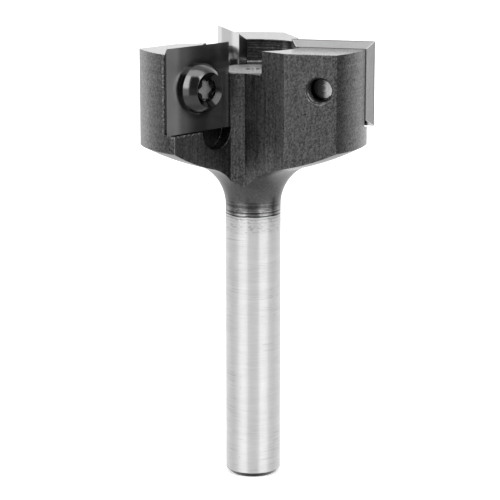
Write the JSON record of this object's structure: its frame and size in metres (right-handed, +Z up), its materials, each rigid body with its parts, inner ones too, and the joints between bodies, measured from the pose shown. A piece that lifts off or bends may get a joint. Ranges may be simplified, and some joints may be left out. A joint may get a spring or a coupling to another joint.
{
  "type": "surfacing router bit",
  "caption": "Surfacing router bit: a blackened winged cutter head on a ground round shank, with square carbide inserts held by domed six-lobe screws.",
  "frame": {"origin": "centre of the shank's end face", "axes": "+Z up the shank towards the cutting end; the back of the wing with the open tapped hole faces roughly -Y; the cutting direction is counter-clockwise seen from the cutting end"},
  "size_m": [0.0331, 0.0296, 0.0643],
  "materials": {
    "blackened_steel": "black oxide on the head and neck, bright ground shank",
    "carbide": "finely ground and polished",
    "black_screw": "black oxide, slightly oily"
  },
  "bodies": {
    "root": {"cutter_body": "blackened_steel", "insert_1": "carbide", "insert_2": "carbide", "insert_3": "carbide", "insert_screw_1": "black_screw", "insert_screw_2": "black_screw", "insert_screw_3": "black_screw"}
  },
  "joints": []
}
